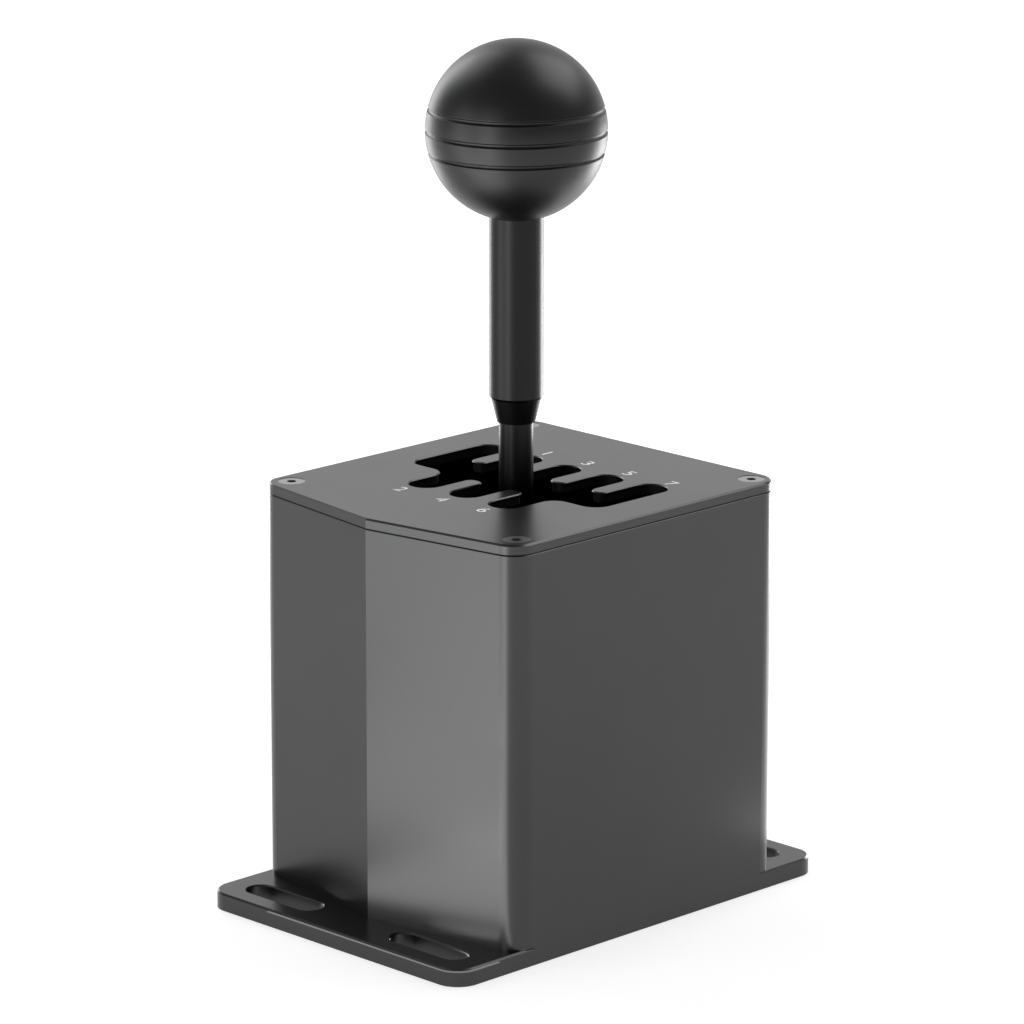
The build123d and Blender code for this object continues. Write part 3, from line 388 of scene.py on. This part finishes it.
@dataclass
class Gate:
    """The gate plate with its liner, its screws and the printed gear numerals.

    Attributes:
        nodes: The CAD nodes by name.
        pitch: The distance between two columns.
        row: How far the numerals' middles lie from the cross corridor.
        height: The height of a numeral.
        widening: How much a numeral is stretched sideways.
        print_thickness: How thick the print stands on the plate.
        merge_distance: How close two of a numeral's points are to count as one.
        columns: The columns that carry numerals, counted from the middle one.
    """

    nodes: Nodes
    pitch: float = 16.1 * MM
    row: float = 28.6 * MM
    height: float = 4.1 * MM
    widening: float = 1.2
    print_thickness: float = 0.02 * MM
    merge_distance: float = 0.002 * MM
    columns: tuple[int, ...] = (-1, 0, 1, 2)

    def build(self) -> None:
        """Dresses the plate and prints the numerals in two rows."""
        dress(self.nodes, DARK_ANODISED, "gate_plate")
        dress(self.nodes, LINER_BLACK, "gate_liner")
        dress(self.nodes, SCREW_STEEL, "gate_screws")
        for place, column in enumerate(self.columns):
            self._numeral(2 * place + 1, column * self.pitch, self.row)
            if column < self.columns[-1]:
                self._numeral(2 * place + 2, column * self.pitch, -self.row)

    def _numeral(self, number: int, x: float, y: float) -> None:
        """Prints one numeral on the plate's top, upright for the driver.

        Args:
            number: The gear.
            x: The middle of the numeral across the housing.
            y: The middle of the numeral along the housing.
        """
        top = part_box("gate_plate")[1].z
        bpy.ops.object.select_all(action="DESELECT")
        bpy.ops.object.text_add()
        piece = bpy.context.object
        piece.data.body = str(number)
        piece.data.extrude = self.print_thickness / 2
        bpy.ops.object.convert(target="MESH")
        piece = bpy.context.object
        piece.name = f"gear_numeral_{number}"
        points = [vertex.co for vertex in piece.data.vertices]
        low = Vector(min(point[axis] for point in points) for axis in range(3))
        high = Vector(max(point[axis] for point in points) for axis in range(3))
        scale = self.height / (high.y - low.y)
        middle = (low + high) / 2
        size = Matrix.Diagonal((scale * self.widening, scale, 1.0, 1.0))
        place = Matrix.Translation((x, y, top + self.print_thickness / 2))
        piece.data.transform(place @ size @ Matrix.Translation(-middle))
        with editing():
            bpy.ops.mesh.remove_doubles(threshold=self.merge_distance)
            bpy.ops.mesh.normals_make_consistent(inside=False)
        piece.data.materials.append(PRINT_WHITE.material())
        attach(piece, "housing")
        LOG.info("printed numeral %d", number)


@dataclass
class Gimbal:
    """The pedestals, the yoke that tilts in them and the bearings of both tilts."""

    nodes: Nodes

    def build(self) -> None:
        """Dresses the castings, the shafts and what holds them."""
        self._castings()
        self._bearings()
        self._shafts()

    def _castings(self) -> None:
        """Dresses the pedestals and the yoke."""
        dress(self.nodes, PLAIN_ALUMINIUM, "front_pedestal", "rear_pedestal", "yoke_frame")
        dress(self.nodes, SCREW_STEEL, "pedestal_screws")

    def _bearings(self) -> None:
        """Dresses the rings and the balls."""
        for tilt in ("select", "shift"):
            for part in ("outer_rings", "inner_rings", "balls"):
                dress(self.nodes, BEARING_STEEL, f"{tilt}_bearing_{part}")

    def _shafts(self) -> None:
        """Dresses the stub shafts of the yoke, their spacers and clips."""
        dress(self.nodes, LENGTHWAYS_STEEL, "select_shafts")
        dress(self.nodes, PLAIN_ALUMINIUM, "select_shaft_spacers")
        dress(self.nodes, SPRING_STEEL, "select_shaft_clips")


@dataclass
class Detent:
    """The notched cam on the cross shaft and the leaf spring that drops into it."""

    nodes: Nodes

    def build(self) -> None:
        """Dresses the cam, its nut, the leaf and its screws."""
        dress(self.nodes, CROSSWAYS_STEEL, "detent_cam")
        dress(self.nodes, SCREW_STEEL, "cam_nut", "leaf_screws")
        dress(self.nodes, SPRING_STEEL, "detent_leaf")


@dataclass
class Lever:
    """The hub, the rod, the sleeve and the knob."""

    nodes: Nodes

    def build(self) -> None:
        """Dresses the lever from the hub up to the knob."""
        dress(self.nodes, PLAIN_ALUMINIUM, "lever_hub", "cross_shaft_spacers")
        dress(self.nodes, CROSSWAYS_STEEL, "cross_shaft")
        dress(self.nodes, SPRING_STEEL, "cross_shaft_clip")
        dress(self.nodes, SCREW_STEEL, "hub_grub_screws")
        dress(self.nodes, BLACK_STEEL, "lever_rod")
        dress(self.nodes, BLACK_SLEEVE, "upper_sleeve")
        dress(self.nodes, KNOB_BLACK, "knob")
        dress(self.nodes, KNURLED_BRASS, "knob_insert")


@dataclass
class CentringUnit:
    """The sprung slider on its guide rod, and the yoke's arm that drives it.

    Attributes:
        nodes: The CAD nodes by name.
        wire_radius: The radius of a spring's wire.
        coil_radius: The radius of a spring's turns, to the middle of the wire.
        turns: How many turns a spring has.
        turn_steps: How many sections make one turn.
        wire_sides: How many sides the wire's section has.
    """

    nodes: Nodes
    wire_radius: float = 0.5 * MM
    coil_radius: float = 4.2 * MM
    turns: int = 7
    turn_steps: int = 32
    wire_sides: int = 12

    def build(self) -> None:
        """Dresses the rod, its blocks, the slider and the arm and winds the springs."""
        dress(self.nodes, CROSSWAYS_STEEL, "guide_rod")
        dress(self.nodes, PLAIN_ALUMINIUM, "guide_blocks", "centring_arm")
        dress(self.nodes, SLIDER_BLACK, "centring_slider")
        dress(self.nodes, LENGTHWAYS_STEEL, "centring_pin")
        dress(self.nodes, SCREW_STEEL, "guide_block_screws", "centring_arm_screws")
        for side in ("left", "right"):
            self._spring(f"centring_spring_{side}")

    def _spring(self, node: str) -> None:
        """Winds a fixed coil spring where the CAD spring lies, and hides the CAD spring.

        Args:
            node: The CAD spring that it stands for.
        """
        low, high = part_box(node)
        middle = (low + high) / 2
        bpy.ops.object.select_all(action="DESELECT")
        bpy.ops.mesh.primitive_circle_add(
            vertices=self.wire_sides,
            radius=self.wire_radius,
            location=(low.x + self.wire_radius, middle.y, middle.z),
        )
        piece = bpy.context.object
        piece.name = f"{node}_coil"
        with editing():
            bpy.ops.transform.translate(value=(0.0, self.coil_radius, 0.0))
        winding = piece.modifiers.new("winding", "SCREW")
        winding.axis = "X"
        winding.angle = 2 * math.pi * self.turns
        winding.screw_offset = high.x - low.x - 2 * self.wire_radius
        winding.steps = winding.render_steps = self.turns * self.turn_steps
        bpy.ops.object.modifier_apply(modifier=winding.name)
        with editing():
            bpy.ops.mesh.fill_holes(sides=self.wire_sides)
            bpy.ops.mesh.select_all(action="SELECT")
            bpy.ops.mesh.normals_make_consistent(inside=False)
            bpy.ops.mesh.faces_shade_smooth()
        bpy.ops.object.transform_apply(location=True)
        piece.data.materials.append(SPRING_STEEL.material())
        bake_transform(piece)
        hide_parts(node)
        LOG.info("wound %s", piece.name)


@dataclass
class Electronics:
    """The main board, its socket and the two angle sensors."""

    nodes: Nodes

    def build(self) -> None:
        """Dresses the boards, the sensors and the socket."""
        self._main_board()
        self._sensors()
        self._socket()

    def _main_board(self) -> None:
        """Dresses the board, what it carries and what carries it."""
        dress(self.nodes, BOARD_GREEN, "main_board")
        dress(self.nodes, COMPONENT_BLACK, "board_components")
        dress(self.nodes, BRASS, "board_posts")
        dress(self.nodes, SCREW_STEEL, "board_screws")

    def _sensors(self) -> None:
        """Dresses the magnet and the facing board of both tilts."""
        for tilt in ("select", "shift"):
            dress(self.nodes, BOARD_GREEN, f"{tilt}_sensor_board")
            dress(self.nodes, BRASS, f"{tilt}_sensor_posts")
            dress(self.nodes, SCREW_STEEL, f"{tilt}_sensor_screws")
            dress(self.nodes, PLAIN_ALUMINIUM, f"{tilt}_magnet_holder")
            dress(self.nodes, NICKEL, f"{tilt}_magnet")

    def _socket(self) -> None:
        """Dresses the data socket and its surround."""
        dress(self.nodes, SOCKET_BLACK, "data_socket")
        dress(self.nodes, BRASS, "socket_contacts")
        dress(self.nodes, BLACK_FRAME, "socket_bezel")
        dress(self.nodes, SCREW_STEEL, "bezel_screws")


class Stand(Enum):
    """How a lamp is set up: upright, hung above the object or lying face up."""

    UPRIGHT = "upright"
    HUNG = "hung"
    LYING = "lying"


@dataclass(frozen=True)
class Softbox:
    """One rectangular soft lamp, which the camera doesn't see.

    Attributes:
        name: The lamp's name.
        azimuth: Its bearing from the lever in degrees, from +X towards +Y.
        distance: How far its middle is from the lever's axis, in metres.
        height: The height of its middle, in metres.
        width: Its width in metres.
        length: Its length from top to bottom, or away from the lever, in metres.
        radiance: How bright its face is, where 1 is white.
        stand: How it is set up. Upright lamps face the housing.
        hung_aim: The height that a hung lamp is tilted at, in metres.
    """

    name: str
    azimuth: float
    distance: float
    height: float
    width: float
    length: float
    radiance: float
    stand: Stand = Stand.UPRIGHT
    hung_aim: float = 0.2

    def build(self) -> None:
        """Makes the lamp and turns it as its stand says."""
        data = bpy.data.lights.new(self.name, "AREA")
        data.shape = "RECTANGLE"
        data.size, data.size_y = self.width, self.length
        # The power of an even, diffuse face is pi times its area and its radiance.
        data.energy = math.pi * self.width * self.length * self.radiance
        lamp = bpy.data.objects.new(self.name, data)
        bpy.context.scene.collection.objects.link(lamp)
        bearing = math.radians(self.azimuth)
        flat = Vector((math.cos(bearing), math.sin(bearing), 0.0))
        place = self.distance * flat + self.height * UP
        behind, along = {
            Stand.UPRIGHT: (flat, UP),
            Stand.HUNG: ((place - self.hung_aim * UP).normalized(), UP),
            Stand.LYING: (-UP, flat),
        }[self.stand]
        across = along.cross(behind).normalized()
        turn = Matrix((across, behind.cross(across), behind)).transposed()
        lamp.matrix_world = Matrix.Translation(place) @ turn.to_4x4()
        lamp.visible_camera = False


@dataclass
class Studio:
    """The pale floor, the lamps and the camera at the photograph's angle.

    Attributes:
        camera_place: Where the camera stands, in metres.
        camera_yaw: How far the camera is turned from +Y towards -X, in degrees.
        camera_pitch: How far the camera looks down, in degrees.
        camera_roll: How far the camera leans, in degrees.
        focal_pixels: The focal length in pixels of the square frame.
        frame_pixels: The frame's side in pixels.
        sensor_width: The sensor's width in millimetres.
        camera_reach: How far the camera sees, in metres.
        floor_half: Half the floor's side, in metres.
        floor_drop: How far the floor lies under the base plate, in metres.
        floor_colour: How much of the light that falls on it the floor scatters.
        floor_glow: What the floor shines of its own, near the object and far from it.
        shadow_ring: The distances from the lever between which that glow rises, in metres.
        ambient: How bright the surrounding is in front.
        back_glow: How much brighter the surrounding is behind the object.
        back_bearing: The bearing of the brightest place, in degrees.
        back_edge: The cosines from that bearing between which it brightens.
        lamps: The lamps: bearing, distance, height, width, length and radiance.
    """

    camera_place: Triple = (1.04888, -1.05017, 0.49957)
    camera_yaw: float = 45.008
    camera_pitch: float = 14.719
    camera_roll: float = 0.054
    focal_pixels: float = 5535.1
    frame_pixels: int = 1024
    sensor_width: float = 36.0
    camera_reach: float = 100.0
    floor_half: float = 12.0
    floor_drop: float = 0.2 * MM
    floor_colour: float = 0.4
    floor_glow: Range = (0.69, 1.0)
    shadow_ring: Range = (0.22, 0.45)
    ambient: float = 0.25
    back_glow: float = 0.7
    back_bearing: float = 135.0
    back_edge: Range = (0.35, 0.95)
    lamps: tuple[Softbox, ...] = (
        Softbox("key", -115.0, 0.36, 0.18, 0.16, 0.36, 2.1),
        Softbox("key_table", -101.0, 0.3, 0.004, 0.12, 0.34, 2.3, Stand.LYING),
        Softbox("front_strip", -80.0, 0.36, 0.18, 0.12, 0.36, 3.0),
        Softbox("front_table", -78.0, 0.2, 0.004, 0.08, 0.27, 2.5, Stand.LYING),
        Softbox("right_table", 78.0, 0.24, 0.004, 0.14, 0.3, 1.4, Stand.LYING),
        Softbox("right_strip", 92.0, 0.4, 0.08, 0.14, 0.16, 9.0),
        Softbox("left_strip", 172.0, 0.4, 0.25, 0.14, 0.5, 3.9),
        Softbox("left_rim", 176.0, 0.5, 0.68, 0.46, 0.4, 2.2, Stand.HUNG),
        Softbox("right_rim", 72.0, 0.45, 0.74, 0.6, 0.5, 3.4, Stand.HUNG),
    )

    def build(self) -> None:
        """Makes the camera, the floor, the world and the lamps."""
        self._camera()
        self._floor()
        self._world()
        for lamp in self.lamps:
            lamp.build()
        bpy.context.scene.view_settings.view_transform = "Standard"

    def _camera(self) -> None:
        """Places the camera where the photograph was taken from."""
        data = bpy.data.cameras.new("camera")
        data.sensor_width = self.sensor_width
        data.lens = self.focal_pixels * self.sensor_width / self.frame_pixels
        data.clip_end = self.camera_reach
        camera = bpy.data.objects.new("camera", data)
        bpy.context.scene.collection.objects.link(camera)
        turn = Matrix.Rotation(math.radians(self.camera_yaw), 4, "Z")
        tilt = Matrix.Rotation(math.radians(90.0 - self.camera_pitch), 4, "X")
        roll = Matrix.Rotation(math.radians(self.camera_roll), 4, "Z")
        camera.matrix_world = Matrix.Translation(self.camera_place) @ turn @ tilt @ roll
        bpy.context.scene.camera = camera

    def _floor(self) -> None:
        """Lays a large pale floor just under the base plate."""
        bpy.ops.object.select_all(action="DESELECT")
        bpy.ops.mesh.primitive_plane_add(
            size=2 * self.floor_half, location=(0.0, 0.0, -self.floor_drop)
        )
        floor = bpy.context.object
        floor.name = "floor"
        floor.data.materials.append(self._floor_material())

    def _floor_material(self) -> bpy.types.Material:
        """Makes the floor white to the eye and in reflections, but grey as a source of light.

        Returns:
            The floor's material.
        """
        material = bpy.data.materials.new("floor_white")
        material.use_nodes = True
        tree = NodeTree(material)
        level = self.floor_colour
        tree.shader.inputs["Base Color"].default_value = (level, level, level, 1.0)
        tree.shader.inputs["Roughness"].default_value = 1.0
        tree.shader.inputs["Specular IOR Level"].default_value = 0.0
        tree.shader.inputs["Emission Color"].default_value = WHITE
        path = tree.tree.nodes.new("ShaderNodeLightPath")
        seen = path.outputs["Is Camera Ray"]
        for ray in ("Is Glossy Ray", "Is Transmission Ray"):
            seen = tree.combine("MAXIMUM", seen, path.outputs[ray])
        glow = tree.combine("MULTIPLY", seen, self._floor_glow(tree))
        tree.link(glow, tree.shader.inputs["Emission Strength"])
        return material

    def _floor_glow(self, tree: NodeTree) -> bpy.types.NodeSocket:
        """Brightens the floor outside the ring that holds the object's shadow.

        Args:
            tree: The floor's nodes.

        Returns:
            The glow's strength.
        """
        reach = tree.tree.nodes.new("ShaderNodeVectorMath")
        reach.operation = "LENGTH"
        tree.link(tree.coordinates(), reach.inputs[0])
        return tree.between(reach.outputs["Value"], self.shadow_ring, self.floor_glow)

    def _world(self) -> None:
        """Sets a plain surrounding that brightens towards the back of the studio."""
        world = bpy.data.worlds.new("studio")
        bpy.context.scene.world = world
        world.use_nodes = True
        tree = NodeTree(world)
        nodes = tree.tree.nodes
        background = nodes["Background"]
        background.inputs["Color"].default_value = WHITE
        source = nodes.new("ShaderNodeTexCoord")
        facing = nodes.new("ShaderNodeVectorMath")
        facing.operation = "DOT_PRODUCT"
        bearing = math.radians(self.back_bearing)
        facing.inputs[1].default_value = (math.cos(bearing), math.sin(bearing), 0.0)
        tree.link(source.outputs["Generated"], facing.inputs[0])
        levels = (self.ambient, self.ambient + self.back_glow)
        level = tree.between(facing.outputs["Value"], self.back_edge, levels, smooth=True)
        tree.link(level, background.inputs["Strength"])


def main() -> None:
    """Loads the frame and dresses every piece."""
    logging.basicConfig(level=logging.INFO, format="%(name)s: %(message)s")
    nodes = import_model()["nodes"]
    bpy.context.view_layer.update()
    Studio().build()
    for assembly in (Housing, Gate, Gimbal, Detent, Lever, CentringUnit, Electronics):
        assembly(nodes).build()
        LOG.info("finished the %s", assembly.__name__)


if __name__ == "__main__":
    main()
